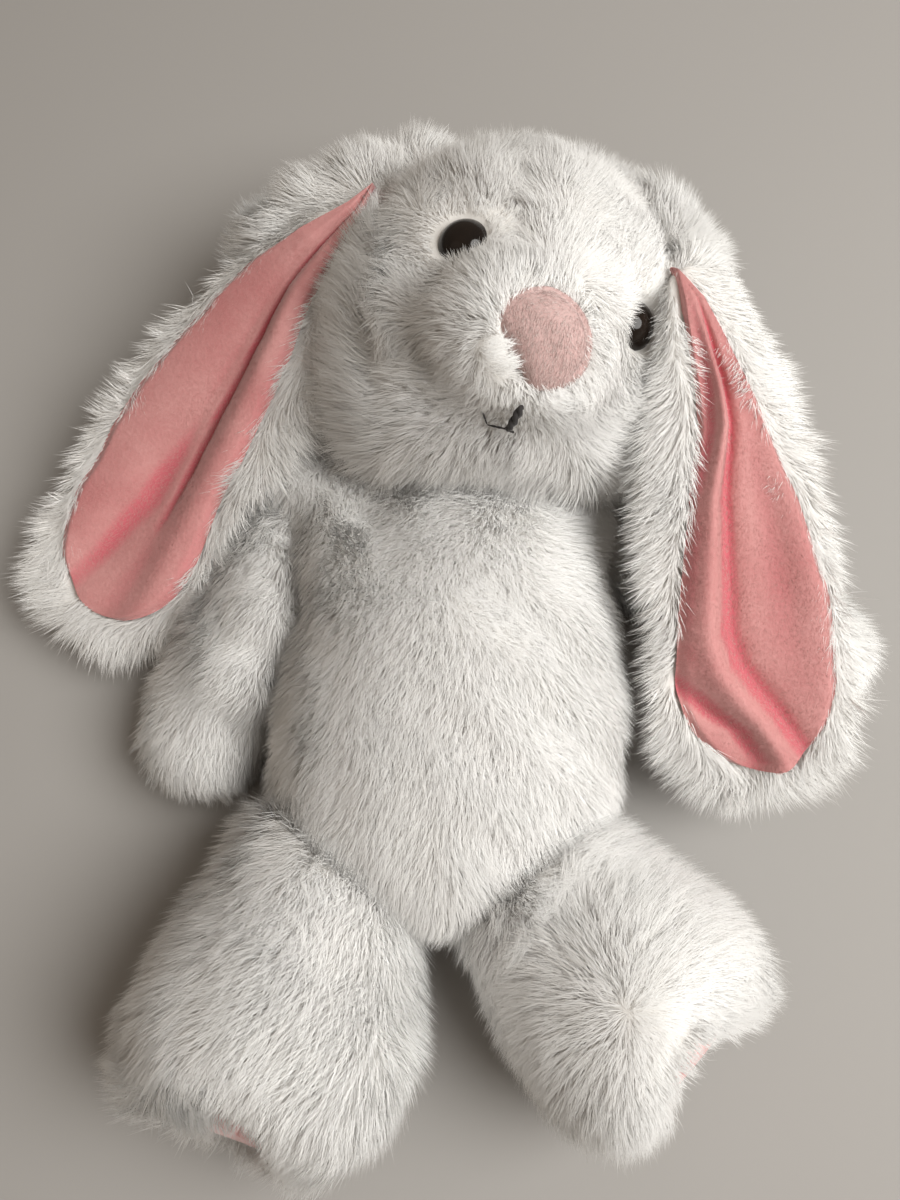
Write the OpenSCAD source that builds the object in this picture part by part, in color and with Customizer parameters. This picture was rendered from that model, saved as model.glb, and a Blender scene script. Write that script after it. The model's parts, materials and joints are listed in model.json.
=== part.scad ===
// Stuffed bunny rabbit, lying on its back with its ears and limbs spread.
// Millimetres. +Z points up from the surface it lies on, +Y towards the crown of the head,
// +X towards the bunny's own left. The origin is the middle of the flat contact patch of the back.
// Every fur panel is a soft wall as thick as its backing and flattened pile together.

/* [Fabric] */
// Thickness of backing and flattened pile together
wall = 7; // [6:0.5:8]
// Clearance between a panel and the filling behind it
slack = 0.2; // [0.1:0.1:0.5]

/* [Torso] */
// Length of the torso from neck to crotch
torso_length = 122; // [116:1:126]
// Greatest width of the torso
torso_width = 96; // [88:1:98]
// Height of the belly above the ground
torso_height = 60; // [54:1:64]
// Lean of the torso to the bunny's right
torso_lean = 5; // [0:1:8]

/* [Head] */
// Width of the head
head_width = 100; // [96:1:102]
// Length of the head from chin to crown
head_length = 86; // [82:1:90]
// Height of the forehead above the ground
head_height = 86; // [80:1:90]
// Tilt of the head to the bunny's left
head_tilt = 24; // [16:1:28]
// Turn of the face to the bunny's left
face_turn = 16; // [8:1:20]
// Width of the central forehead gusset
gusset_width = 34; // [26:1:38]

/* [Face] */
// Diameter of an eye
eye_d = 14; // [12:1:15]
// Distance of each eye from the middle of the face
eye_spread = 25; // [23:1:27]
// Diameter of the shank behind an eye
shank_d = 4.6; // [4:0.2:5]
// Width of the nose patch
nose_width = 24; // [20:1:26]
// Length of the nose patch
nose_length = 25; // [22:1:27]
// Diameter of the mouth thread
thread_d = 1.6; // [1.2:0.2:2]

/* [Ears] */
// Thickness of the fur side of an ear
ear_fur = 6; // [5:0.5:7]
// Thickness of the lining side of an ear
ear_lining = 2.2; // [1.8:0.2:3]
// Width of the fur border around the lining
ear_border = 5; // [4:0.5:7]

/* [Limbs] */
// Thickness of an arm
arm_thickness = 27; // [24:1:28]
// Height of a foot above the ground
foot_height = 62; // [56:1:66]
// Diameter of a sole pad
sole_d = 34; // [30:1:36]
// Thickness of a sole pad
sole_thickness = 2.4; // [2:0.2:3]

/* [Hidden] */

fur_white = [0.95, 0.94, 0.92];
filling_white = [0.98, 0.98, 0.97];
lining_pink = [0.93, 0.68, 0.68];
nose_pink = [0.88, 0.68, 0.66];
eye_black = [0.05, 0.05, 0.05];
washer_grey = [0.80, 0.80, 0.78];
thread_black = [0.10, 0.09, 0.09];
thread_white = [0.90, 0.90, 0.88];

around = 20;      // points around a soft form
lengthwise = 12;  // steps along a soft form
big = 400;        // side of a cutting block

// ---- Soft forms ------------------------------------------------------------

// Smooth value at t from 0 to 1 along a list of key rows
function blend4(a, b, c, d, t) =
    b + (c - a) * t / 2 + (2 * a - 5 * b + 4 * c - d) * t * t / 2
    + (3 * b - a - 3 * c + d) * t * t * t / 2;
function along(keys, t) =
    let (last = len(keys) - 1, s = min(max(t, 0), 1) * last, i = min(floor(s), last - 1))
    blend4(keys[max(i - 1, 0)], keys[i], keys[i + 1], keys[min(i + 2, last)], s - i);

// First three values of a key row
function place(row) = [row[0], row[1], row[2]];
function unit(v) = v / norm(v);

// Direction of travel at t, and the two directions across it
function heading(keys, t) =
    unit(place(along(keys, min(t + 0.01, 1))) - place(along(keys, max(t - 0.01, 0))));
function sideways(d, roll) =
    let (s = unit([d[1], -d[0], 0]), u = cross(s, d)) s * cos(roll) + u * sin(roll);

// Rounding of the two ends: 0 at the tip, 1 once past it
function end_round(t, e) = t >= e ? 1 : sqrt(1 - pow(1 - t / e, 2));
function rounding(t, ends) = end_round(t, ends[0]) * end_round(1 - t, ends[1]);

// Keeps a point at or above the ground
function above(p, ground) = [p[0], p[1], max(p[2], ground)];

// Closed solid through rings of points, with a point at each end
module skinned(first, rings, last) {
    n = len(rings[0]);
    m = len(rings);
    points = concat([first], [for (r = rings) each r], [last]);
    end = len(points) - 1;
    faces = concat(
        [for (j = [0:n - 1]) [0, 1 + (j + 1) % n, 1 + j]],
        [for (i = [0:m - 2], j = [0:n - 1], k = [0, 1])
            let (a = 1 + i * n + j, b = 1 + i * n + (j + 1) % n)
            k == 0 ? [a, b + n, a + n] : [a, b, b + n]],
        [for (j = [0:n - 1]) let (a = 1 + (m - 1) * n + j, b = 1 + (m - 1) * n + (j + 1) % n)
            [a, b, end]]
    );
    polyhedron(points, faces, convexity = 6);
}

// Stuffed form along key rows [x, y, z, half width, half height], flattened at the ground.
// inset draws the same form that much smaller all round.
module soft_form(keys, ends, inset = 0) {
    length = norm(place(keys[len(keys) - 1]) - place(keys[0]));
    skip = inset / length;
    function spot(t) = skip + t * (1 - 2 * skip);
    function ring(t) =
        let (row = along(keys, spot(t)), d = heading(keys, spot(t)), s = sideways(d, 0),
            u = cross(s, d), r = rounding(t, ends))
        [for (j = [0:around - 1]) let (a = 360 * j / around)
            above(place(row) + s * cos(a) * (row[3] - inset) * r
                + u * sin(a) * (row[4] - inset) * r, inset)];
    rings = [for (i = [1:lengthwise - 1]) ring((1 - cos(180 * i / lengthwise)) / 2)];
    skinned(above(place(along(keys, spot(0))), inset), rings,
        above(place(along(keys, spot(1))), inset));
}

// Closed wall of one soft form
module soft_wall(keys, ends, thickness) {
    difference() {
        soft_form(keys, ends);
        soft_form(keys, ends, thickness);
    }
}

// Smooth egg with three half sizes
module egg(half) {
    steps = 10;
    skinned([0, 0, -half[2]],
        [for (i = [1:steps - 1]) let (b = -90 + 180 * i / steps)
            [for (j = [0:around - 1]) let (a = -360 * j / around)
                [half[0] * cos(a) * cos(b), half[1] * sin(a) * cos(b), half[2] * sin(b)]]],
        [0, 0, half[2]]);
}

// Blocks that keep one side of a plane
module half_above(z) {
    translate([-big / 2, -big / 2, z]) cube(big);
}
module half_below(z) {
    translate([-big / 2, -big / 2, z - big]) cube(big);
}
module half_left() {
    translate([0, -big / 2, -big / 2]) cube(big);
}
module half_right() {
    translate([-big, -big / 2, -big / 2]) cube(big);
}

// ---- Torso -----------------------------------------------------------------

torso_bottom = -0.49 * torso_length;
torso_top = 0.51 * torso_length;
torso_seam = 0.42 * torso_height;
torso_keys = [
    [1, torso_bottom, 20, 22, 20],
    [1, -0.33 * torso_length, 25, 0.45 * torso_width, 28],
    [2, -0.05 * torso_length, torso_height - 33, torso_width / 2, 33],
    [2, 0.25 * torso_length, 27, 0.44 * torso_width, 29],
    [2, torso_top + 8, 27, 28, 22]
];
torso_ends = [0.22, 0.14];

module torso_place() {
    rotate([0, 0, -torso_lean]) children();
}
// Everything the torso leaves free for the parts that move beside it
module torso_limits() {
    neck_side(joint_gap / 2);
    for (side = [-1, 1]) hip_side(side, joint_gap / 2);
}
module torso_wall() {
    difference() {
        torso_place() soft_wall(torso_keys, torso_ends, wall);
        torso_limits();
    }
}

module torso_front_panel() {
    color(fur_white) intersection() {
        torso_wall();
        half_above(torso_seam);
    }
}
module torso_back_half() {
    difference() {
        intersection() {
            torso_wall();
            half_below(torso_seam);
            torso_place() children();
        }
        stitch_run(stitch_d / 2 + slack);
    }
}
module torso_back_left_panel() {
    color(fur_white) torso_back_half() half_left();
}
module torso_back_right_panel() {
    color(fur_white) torso_back_half() half_right();
}
module torso_stuffing() {
    color(filling_white) difference() {
        torso_place() soft_form(torso_keys, torso_ends, wall + slack);
        torso_limits();
    }
}

// Row of hand stitches across the closed opening of the back seam, sunk in the pile
stitch_d = 0.9;
stitch_count = 6;
stitch_pitch = 7;
stitch_length = 8;
module stitch_run(r) {
    torso_place() for (i = [0:stitch_count - 1])
        translate([-stitch_length / 2, (i - (stitch_count - 1) / 2) * stitch_pitch, 2])
            rotate([0, 90, 0]) cylinder(h = stitch_length, r = r, $fn = 24);
}
module closing_stitches() {
    color(thread_white) stitch_run(stitch_d / 2);
}

// ---- Seams that bend -------------------------------------------------------

// Free space across a bending seam
joint_gap = 0.8;
neck_at = [8, 62, 44];
hip_left_at = [24, -43, 46];
hip_right_at = [-30, -41, 46];
hip_splay = 35;
crease_r = 4;

// Block on the head's side of the neck seam; on the torso's side for a negative gap
module neck_side(gap) {
    translate([neck_at[0], neck_at[1], 0]) rotate([0, 0, -torso_lean])
        translate([-big / 2, gap > 0 ? -gap : -big - gap, -big / 2]) cube(big);
}
function hip_at(side) = side > 0 ? hip_left_at : hip_right_at;
// Places the hip's own frame: the seam in its XZ plane, the leg towards -Y
module hip_place(side) {
    translate(hip_at(side)) rotate([0, 0, side * hip_splay]) children();
}
// Block on the leg's side of a hip seam, with a groove along its crease
module hip_side(side, gap) {
    hip_place(side) {
        translate([-big / 8, gap - big / 4, -big / 2]) cube([big / 4, big / 4, big]);
        rotate([0, 90, 0]) cylinder(h = big / 4, r = crease_r, center = true, $fn = 32);
    }
}

// ---- Head ------------------------------------------------------------------

head_at = [19, 107, 0];
head_mid = head_height / 2;
head_keys = [
    [0, -0.62 * head_length, 34, 30, 26],
    [0, -0.26 * head_length, 39, 0.44 * head_width, 39],
    [0, 0.02 * head_length, head_mid, head_width / 2, head_mid + 1.5],
    [0, 0.30 * head_length, 37, 0.41 * head_width, 37],
    [0, 0.51 * head_length, 28, 22, 20]
];
head_ends = [0.16, 0.16];
muzzle_at = [0, -18, 33];
muzzle_half = [25, 20, 19];
muzzle_seam_r = 22;

// Places that follow the head's tilt, and the face's own turn
module head_place() {
    translate(head_at) rotate([0, 0, -head_tilt]) children();
}
module face_place() {
    head_place() translate([0, 0, head_mid]) rotate([0, face_turn, 0]) children();
}

module head_solid(inset) {
    union() {
        head_place() soft_form(head_keys, head_ends, inset);
        face_place() translate(muzzle_at)
            egg([muzzle_half[0] - inset, muzzle_half[1] - inset, muzzle_half[2] - inset]);
    }
}
module muzzle_cut() {
    face_place() translate([muzzle_at[0], muzzle_at[1], 0]) cylinder(h = big, r = muzzle_seam_r, $fn = 48);
}
module head_wall() {
    difference() {
        head_solid(0);
        head_solid(wall);
        neck_side(-joint_gap / 2);
        for (side = [-1, 1]) eye_socket(side);
        for (side = [-1, 1]) ear_clearance(side);
    }
}
// Strip from the muzzle over the forehead and down the back of the head to the neck
module gusset_band() {
    face_place() translate([-gusset_width / 2, 0, 0]) {
        translate([0, muzzle_at[1], -big / 2]) cube([gusset_width, big, big]);
        translate([0, -big / 2, -big]) cube([gusset_width, big, big - head_mid / 4]);
    }
}

module head_gusset() {
    color(fur_white) difference() {
        intersection() {
            head_wall();
            gusset_band();
        }
        muzzle_cut();
    }
}
module head_side() {
    color(fur_white) difference() {
        intersection() {
            head_wall();
            face_place() children();
        }
        gusset_band();
        muzzle_cut();
    }
}
module head_left_panel() {
    head_side() half_left();
}
module head_right_panel() {
    head_side() half_right();
}
module muzzle_panel() {
    color(fur_white) difference() {
        intersection() {
            head_wall();
            muzzle_cut();
        }
        nose_place() nose_form(slack);
        mouth_path(thread_d / 2 + slack);
    }
}
module head_stuffing() {
    color(filling_white) difference() {
        head_solid(wall + slack);
        neck_side(-joint_gap / 2);
        for (side = [-1, 1]) washer_pocket(side);
        for (side = [-1, 1]) ear_clearance(side);
    }
}

// ---- Nose and mouth --------------------------------------------------------

nose_at = [1.5, -20.5, 46.5];
nose_tip = -14;
nose_bulge = 7;
patch_thickness = 1.6;

module nose_place() {
    face_place() translate(nose_at) rotate([-nose_tip, 0, 0]) children();
}
module nose_form(grow) {
    egg([nose_width / 2 + grow, nose_length / 2 + grow, nose_bulge + grow]);
}
module nose_patch() {
    color(nose_pink) nose_place() difference() {
        intersection() {
            nose_form(0);
            half_above(0);
        }
        nose_form(-patch_thickness);
    }
}
module nose_padding() {
    color(filling_white) nose_place() intersection() {
        nose_form(-patch_thickness - slack);
        half_above(-2);
    }
}

// Three straight stitches in the face's frame: down from the nose, then out to both sides
mouth_fork = [0, -36.4, 38.6];
mouth_ends = [[0, -34.2, 42.2], [-6, -38, 35], [6, -38, 35]];
module rod(a, b, r) {
    v = b - a;
    translate(a) rotate([0, acos(v[2] / norm(v)), atan2(v[1], v[0])])
        cylinder(h = norm(v), r = r, $fn = 24);
}
module mouth_path(r) {
    face_place() for (e = mouth_ends) rod(mouth_fork + unit(e - mouth_fork) * thread_d, e, r);
}
module mouth_thread() {
    color(thread_black) mouth_path(thread_d / 2);
}

// ---- Eyes ------------------------------------------------------------------

eye_y_right = -2;
eye_y_left = 2;
function eye_y(side) = side > 0 ? eye_y_left : eye_y_right;
eye_z = 34;
eye_out = 26;
flange_t = 1.2;
shank_l = 11;
washer_d = 15;
washer_t = 1.2;
washer_gap = 0.05;
eye_sink = 3.5;

module eye_place(side) {
    face_place() translate([side * eye_spread, eye_y(side), eye_z]) rotate([8, side * eye_out, 0])
        children();
}
module eye() {
    color(eye_black) {
        intersection() {
            translate([0, 0, -eye_sink]) sphere(d = eye_d * 1.08, $fn = 64);
            translate([0, 0, -eye_sink + 1]) cylinder(h = eye_d, d = eye_d, $fn = 64);
        }
        translate([0, 0, -eye_sink + 1 - flange_t]) cylinder(h = flange_t, d = eye_d, $fn = 64);
        translate([0, 0, -eye_sink + 1 - flange_t - shank_l]) cylinder(h = shank_l, d = shank_d, $fn = 48);
    }
}
module eye_socket(side) {
    eye_place(side) {
        translate([0, 0, -eye_sink + 1 - flange_t - slack]) cylinder(h = 30, d = eye_d + 2 * slack, $fn = 64);
        translate([0, 0, -30]) cylinder(h = 40, d = shank_d + 2 * slack, $fn = 48);
    }
}
washer_z = -eye_sink + 1 - flange_t - wall + 0.8;
module washer_pocket(side) {
    eye_place(side) translate([0, 0, -20]) cylinder(h = 40, d = washer_d + 2 * slack, $fn = 48);
}
module eye_washer() {
    color(washer_grey) difference() {
        translate([0, 0, washer_z - washer_t]) cylinder(h = washer_t, d = washer_d, $fn = 64);
        translate([0, 0, washer_z - 5]) cylinder(h = 10, d = shank_d + 2 * washer_gap, $fn = 48);
    }
}
module eye_left() {
    eye_place(1) eye();
}
module eye_right() {
    eye_place(-1) eye();
}
module eye_washer_left() {
    eye_place(1) eye_washer();
}
module eye_washer_right() {
    eye_place(-1) eye_washer();
}

// ---- Ears ------------------------------------------------------------------

// Key rows [x, y, z, half width, roll], from the root to the rounded end
ear_left_keys = [
    [64, 112, 70, 9, 10],
    [69, 91, 66, 14, 6],
    [74, 61, 54, 22, 0],
    [81, 28, 45, 25, -4],
    [85, -2, 34, 26, -8],
    [87, -22, 24, 21, -8]
];
ear_right_keys = [
    [-26, 133, 58, 9, -10],
    [-40, 121, 52, 14.5, -8],
    [-60, 98, 38, 24, -6],
    [-82, 70, 24, 26.5, -3],
    [-98, 42, 14, 26.5, 0],
    [-107, 22, 10, 21, 0]
];
ear_steps = 16;
ear_ends = [0.08, 0.20];
ear_cup = 4;
ear_length = 130;
ear_half_width = 26.5;

// One layer of an ear between two heights above its middle sheet, drawn in from the edge by border
module ear_layer(keys, low, high, border) {
    cross_steps = 8;
    start = border > 0 ? 0.05 : 0;
    stop = 1 - border / ear_length;
    function spot(t) = start + t * (stop - start);
    function ring(t) =
        let (row = along(keys, spot(t)), d = heading(keys, spot(t)), s = sideways(d, row[4]),
            u = cross(s, d), w = max(row[3] * rounding(spot(t), ear_ends) - border, 1))
        [for (j = [0:2 * cross_steps - 1])
            let (top = j >= cross_steps,
                f = top ? 1 - 2 * (j - cross_steps) / (cross_steps - 1) : -1 + 2 * j / (cross_steps - 1),
                edge = sqrt(max(1 - pow(abs(f), 3), 0.04)),
                lift = ear_cup * pow(f * w / ear_half_width, 2),
                h = top ? (low + high) / 2 + (high - low) / 2 * edge
                    : (low + high) / 2 - (high - low) / 2 * edge)
            place(row) + s * f * w + u * (h + lift)];
    rings = [for (i = [0:ear_steps]) ring((1 - cos(180 * i / ear_steps)) / 2)];
    first = rings[0];
    last = rings[ear_steps];
    function middle(r) = [for (k = [0:2]) [for (p = r) p[k]] * [for (p = r) 1] / len(r)];
    skinned(middle(first) - heading(keys, spot(0)) * 0.5, rings,
        middle(last) + heading(keys, spot(1)) * 0.5);
}
module ear_back(keys) {
    color(fur_white) ear_layer(keys, 0, ear_fur, 0);
}
module ear_inner(keys) {
    color(lining_pink) ear_layer(keys, ear_fur + slack, ear_fur + slack + ear_lining, ear_border);
}
module ear_left_back() {
    ear_back(ear_left_keys);
}
module ear_left_lining() {
    ear_inner(ear_left_keys);
}
module ear_right_back() {
    ear_back(ear_right_keys);
}
module ear_right_lining() {
    ear_inner(ear_right_keys);
}
// Hollow in the head around the rounded root of an ear
ear_root_r = 14;
module ear_clearance(side) {
    translate(place(side > 0 ? ear_left_keys[0] : ear_right_keys[0])) sphere(r = ear_root_r, $fn = 40);
}

// ---- Arms ------------------------------------------------------------------

arm_mid = arm_thickness / 2;
arm_ends = [0.16, 0.2];
arm_left_keys = [
    [45, 59, arm_mid, 12, arm_mid - 1],
    [73, 42, arm_mid, 15, arm_mid + 1],
    [102, 22, arm_mid, 16, arm_mid + 1],
    [124, 8, arm_mid - 2, 14, arm_mid - 1]
];
arm_right_keys = [
    [-40, 70, arm_mid + 2, 13, arm_mid + 1],
    [-53, 38, arm_mid + 1, 15, arm_mid + 2],
    [-66, 8, arm_mid, 17, arm_mid + 1],
    [-77, -22, arm_mid - 1, 16, arm_mid]
];
shoulder_right_at = [-45, 58, 27];
shoulder_right_heading = 22;

// Block behind the seam where the right arm folds up
module shoulder_limit() {
    translate([shoulder_right_at[0], shoulder_right_at[1], 0]) rotate([0, 0, -shoulder_right_heading])
        translate([-big / 2, 0, -big / 2]) cube(big);
}
module arm_upper(keys) {
    color(fur_white) intersection() {
        soft_wall(keys, arm_ends, wall);
        half_above(arm_mid);
    }
}
module arm_under(keys) {
    color(fur_white) intersection() {
        soft_wall(keys, arm_ends, wall);
        half_below(arm_mid);
    }
}
module arm_filling(keys) {
    color(filling_white) soft_form(keys, arm_ends, wall + slack);
}
module arm_left_upper_panel() {
    arm_upper(arm_left_keys);
}
module arm_left_under_panel() {
    arm_under(arm_left_keys);
}
module arm_left_stuffing() {
    arm_filling(arm_left_keys);
}
module arm_right_upper_panel() {
    difference() {
        arm_upper(arm_right_keys);
        shoulder_limit();
    }
}
module arm_right_under_panel() {
    difference() {
        arm_under(arm_right_keys);
        shoulder_limit();
    }
}
module arm_right_stuffing() {
    difference() {
        arm_filling(arm_right_keys);
        shoulder_limit();
    }
}

// ---- Legs ------------------------------------------------------------------

leg_seam = 24;
leg_ends = [0.12, 0.3];
leg_left_keys = [
    [12, -30, 24, 20, 20],
    [32, -58, 26, 25, 26],
    [52, -80, 30, 32, foot_height / 2],
    [66, -99, 27, 28, 27]
];
leg_right_keys = [
    [-24, -22, 24, 20, 20],
    [-36, -58, 26, 27, 26],
    [-45, -88, 31, 35, foot_height / 2 + 1],
    [-50, -119, 28, 29, 28]
];
sole_left_at = [64, -91, 34];
sole_right_at = [-53, -109, 34];
sole_left_turn = [-62, 0, 50];
sole_right_turn = [-62, 0, -18];

// Places a sole's own frame, +Z out of the foot
module sole_place(side) {
    translate(side > 0 ? sole_left_at : sole_right_at)
        rotate([0, 0, side > 0 ? sole_left_turn[2] : sole_right_turn[2]])
            rotate([side > 0 ? -sole_left_turn[0] : -sole_right_turn[0], 0, 0]) children();
}
function leg_keys(side) = side > 0 ? leg_left_keys : leg_right_keys;
module leg_limits(side) {
    hip_place(side) translate([-big / 2, -joint_gap / 2, -big / 2]) cube(big);
    sole_place(side) translate([-big / 2, -big / 2, -slack]) cube(big);
}
module leg_solid(side, inset) {
    difference() {
        soft_form(leg_keys(side), leg_ends, inset);
        leg_limits(side);
    }
}
module leg_wall(side) {
    difference() {
        soft_wall(leg_keys(side), leg_ends, wall);
        leg_limits(side);
    }
}
module leg_upper(side) {
    color(fur_white) intersection() {
        leg_wall(side);
        half_above(leg_seam);
    }
}
module leg_under(side) {
    color(fur_white) intersection() {
        leg_wall(side);
        half_below(leg_seam);
    }
}
module leg_sole(side) {
    color(lining_pink) sole_place(side) cylinder(h = sole_thickness, d = sole_d, $fn = 64);
}
module leg_filling(side) {
    color(filling_white) leg_solid(side, wall + slack);
}
module leg_left_upper_panel() {
    leg_upper(1);
}
module leg_left_under_panel() {
    leg_under(1);
}
module leg_left_sole() {
    leg_sole(1);
}
module leg_left_stuffing() {
    leg_filling(1);
}
module leg_right_upper_panel() {
    leg_upper(-1);
}
module leg_right_under_panel() {
    leg_under(-1);
}
module leg_right_sole() {
    leg_sole(-1);
}
module leg_right_stuffing() {
    leg_filling(-1);
}

torso_front_panel();
torso_back_left_panel();
torso_back_right_panel();
torso_stuffing();
closing_stitches();
head_gusset();
head_left_panel();
head_right_panel();
muzzle_panel();
head_stuffing();
nose_patch();
nose_padding();
mouth_thread();
eye_left();
eye_right();
eye_washer_left();
eye_washer_right();
ear_left_back();
ear_left_lining();
ear_right_back();
ear_right_lining();
arm_left_upper_panel();
arm_left_under_panel();
arm_left_stuffing();
arm_right_upper_panel();
arm_right_under_panel();
arm_right_stuffing();
leg_left_upper_panel();
leg_left_under_panel();
leg_left_sole();
leg_left_stuffing();
leg_right_upper_panel();
leg_right_under_panel();
leg_right_sole();
leg_right_stuffing();
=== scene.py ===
import json
import math

import bmesh
import bpy
import numpy as np
from mathutils import Matrix, Vector
from mathutils.bvhtree import BVHTree
from mathutils.kdtree import KDTree


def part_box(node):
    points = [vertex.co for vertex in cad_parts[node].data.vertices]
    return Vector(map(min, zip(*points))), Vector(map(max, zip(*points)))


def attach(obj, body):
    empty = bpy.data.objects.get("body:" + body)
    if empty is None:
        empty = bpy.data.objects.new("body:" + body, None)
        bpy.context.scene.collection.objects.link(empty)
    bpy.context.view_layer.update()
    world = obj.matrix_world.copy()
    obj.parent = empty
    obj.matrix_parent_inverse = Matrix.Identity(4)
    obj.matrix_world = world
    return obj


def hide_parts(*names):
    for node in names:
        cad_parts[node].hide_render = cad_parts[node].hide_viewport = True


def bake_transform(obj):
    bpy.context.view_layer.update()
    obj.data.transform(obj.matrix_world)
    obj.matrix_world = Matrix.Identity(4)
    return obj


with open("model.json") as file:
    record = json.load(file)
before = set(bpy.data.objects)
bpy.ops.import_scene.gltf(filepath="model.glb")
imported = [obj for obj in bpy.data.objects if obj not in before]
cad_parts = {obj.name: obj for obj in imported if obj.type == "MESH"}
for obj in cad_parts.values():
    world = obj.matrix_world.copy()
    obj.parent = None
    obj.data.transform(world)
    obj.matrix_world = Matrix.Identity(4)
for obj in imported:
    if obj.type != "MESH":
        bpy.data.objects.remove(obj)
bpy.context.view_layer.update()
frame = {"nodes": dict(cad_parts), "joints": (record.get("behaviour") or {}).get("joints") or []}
NODES = frame["nodes"]
JOINTS = {j["name"]: j for j in frame["joints"]}
MM = 0.001
UP = np.array([0.0, 0.0, 1.0])


# ---- Small helpers ---------------------------------------------------------

def unit(v):
    """Rows of v at length 1."""
    return v / np.maximum(np.linalg.norm(v, axis=-1, keepdims=True), 1e-12)


def smooth(x, low, high):
    """0 at low, 1 at high, eased in between."""
    t = np.clip((x - low) / (high - low), 0, 1)
    return t * t * (3 - 2 * t)


def bump(x, middle, width):
    """1 at the middle, falling away to both sides."""
    return np.exp(-((x - middle) / width) ** 2)


def centre(node):
    """Middle of a CAD node's box."""
    low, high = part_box(node)
    return np.array((low + high) / 2)


def points_of(mesh):
    """Vertex places of a mesh, one row each."""
    co = np.empty(len(mesh.vertices) * 3, np.float32)
    mesh.vertices.foreach_get("co", co)
    return co.reshape(-1, 3).astype(float)


def normals_of(mesh):
    """Vertex normals of a mesh, one row each."""
    no = np.empty(len(mesh.vertices) * 3, np.float32)
    mesh.vertex_normals.foreach_get("vector", no)
    return no.reshape(-1, 3).astype(float)


def set_points(mesh, co):
    """Moves a mesh's vertices to co."""
    mesh.vertices.foreach_set("co", np.asarray(co, np.float32).ravel())
    mesh.update()


def point_values(mesh, name, values):
    """A named number on each vertex of a mesh."""
    layer = mesh.attributes.new(name, "FLOAT", "POINT")
    layer.data.foreach_set("value", np.asarray(values, np.float32))


def linked(name, mesh):
    """A new object that shows the mesh."""
    obj = bpy.data.objects.new(name, mesh)
    bpy.context.scene.collection.objects.link(obj)
    return obj


def tree_of(mesh):
    """A search tree over a mesh's faces."""
    bm = bmesh.new()
    bm.from_mesh(mesh)
    tree = BVHTree.FromBMesh(bm)
    bm.free()
    return tree


def wear(obj, mat):
    """The object shows one material only."""
    obj.data.materials.clear()
    obj.data.materials.append(mat)


def smooth_shaded(mesh):
    """Rounds the shading of a mesh's faces."""
    for face in mesh.polygons:
        face.use_smooth = True


def bake_modifiers(obj):
    """The object's modifiers become its mesh."""
    graph = bpy.context.evaluated_depsgraph_get()
    mesh = bpy.data.meshes.new_from_object(obj.evaluated_get(graph))
    obj.modifiers.clear()
    obj.data = mesh


class Waves:
    """A smooth random vector field, the same on each run."""

    def __init__(self, seed, size, count=12):
        rng = np.random.default_rng(seed)
        self.k = unit(rng.normal(size=(count, 3)))
        self.k *= 2 * math.pi / size * rng.uniform(0.6, 1.5, (count, 1))
        self.phase = rng.uniform(0, 2 * math.pi, (count, 3))
        self.scale = math.sqrt(2 / count)

    def __call__(self, p):
        a = p @ self.k.T
        return np.stack([np.sin(a + self.phase[:, i]).sum(1) for i in range(3)], 1) * self.scale


# ---- Materials -------------------------------------------------------------

def new_material(name):
    """(material, nodes, links, its Principled node)"""
    mat = bpy.data.materials.new(name)
    mat.use_nodes = True
    nt = mat.node_tree
    return mat, nt.nodes, nt.links, nt.nodes["Principled BSDF"]


def set_inputs(node, values):
    """Sets a node's inputs by name."""
    for key, value in values.items():
        node.inputs[key].default_value = value


def strand_material(name, color, roughness=0.62, sheen=0.25):
    """One tone of a fibre. Strands carry one tone at the root and one at the tip; a root tone darker than
    its tip tone is painted shade deep in the pile.
    """
    mat, _, _, shader = new_material(name)
    set_inputs(shader, {"Base Color": (*color, 1), "Roughness": roughness, "Specular IOR Level": 0.35,
                        "Sheen Weight": sheen, "Sheen Roughness": 0.5})
    return mat


def noise_node(nodes, links, scale, detail=2):
    """Noise over the object's own coordinates."""
    coord = nodes.new("ShaderNodeTexCoord")
    noise = nodes.new("ShaderNodeTexNoise")
    set_inputs(noise, {"Scale": scale, "Detail": detail})
    links.new(coord.outputs["Object"], noise.inputs["Vector"])
    return noise


def tint(nodes, links, height, low, high):
    """Colours the shader from the low tone to the high one by a height."""
    ramp = nodes.new("ShaderNodeValToRGB")
    ramp.color_ramp.elements[0].color = (*low, 1)
    ramp.color_ramp.elements[1].color = (*high, 1)
    links.new(height, ramp.inputs["Fac"])
    links.new(ramp.outputs["Color"], nodes["Principled BSDF"].inputs["Base Color"])
    return ramp


def emboss(nodes, links, noise, strength, distance):
    """Fine relief from a noise node."""
    relief = nodes.new("ShaderNodeBump")
    set_inputs(relief, {"Strength": strength, "Distance": distance})
    links.new(noise.outputs["Fac"], relief.inputs["Height"])
    links.new(relief.outputs["Normal"], nodes["Principled BSDF"].inputs["Normal"])


def plush_material(name, light, deep, scale=900, nap=0.35, sheen=0.45):
    """Short-pile cloth: fine fibres, brushed patches and a soft edge glow."""
    mat, nodes, links, shader = new_material(name)
    patches = noise_node(nodes, links, 42, 3)
    fibres = noise_node(nodes, links, scale)
    mix = nodes.new("ShaderNodeMath")
    mix.operation = "MULTIPLY_ADD"
    mix.inputs[1].default_value = nap
    links.new(fibres.outputs["Fac"], mix.inputs[0])
    links.new(patches.outputs["Fac"], mix.inputs[2])
    ramp = tint(nodes, links, mix.outputs["Value"], deep, light)
    ramp.color_ramp.elements[0].position = 0.42
    ramp.color_ramp.elements[1].position = 0.85
    emboss(nodes, links, fibres, 0.5, 0.0004)
    set_inputs(shader, {"Roughness": 0.85, "Sheen Weight": sheen, "Sheen Roughness": 0.45})
    return mat


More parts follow.
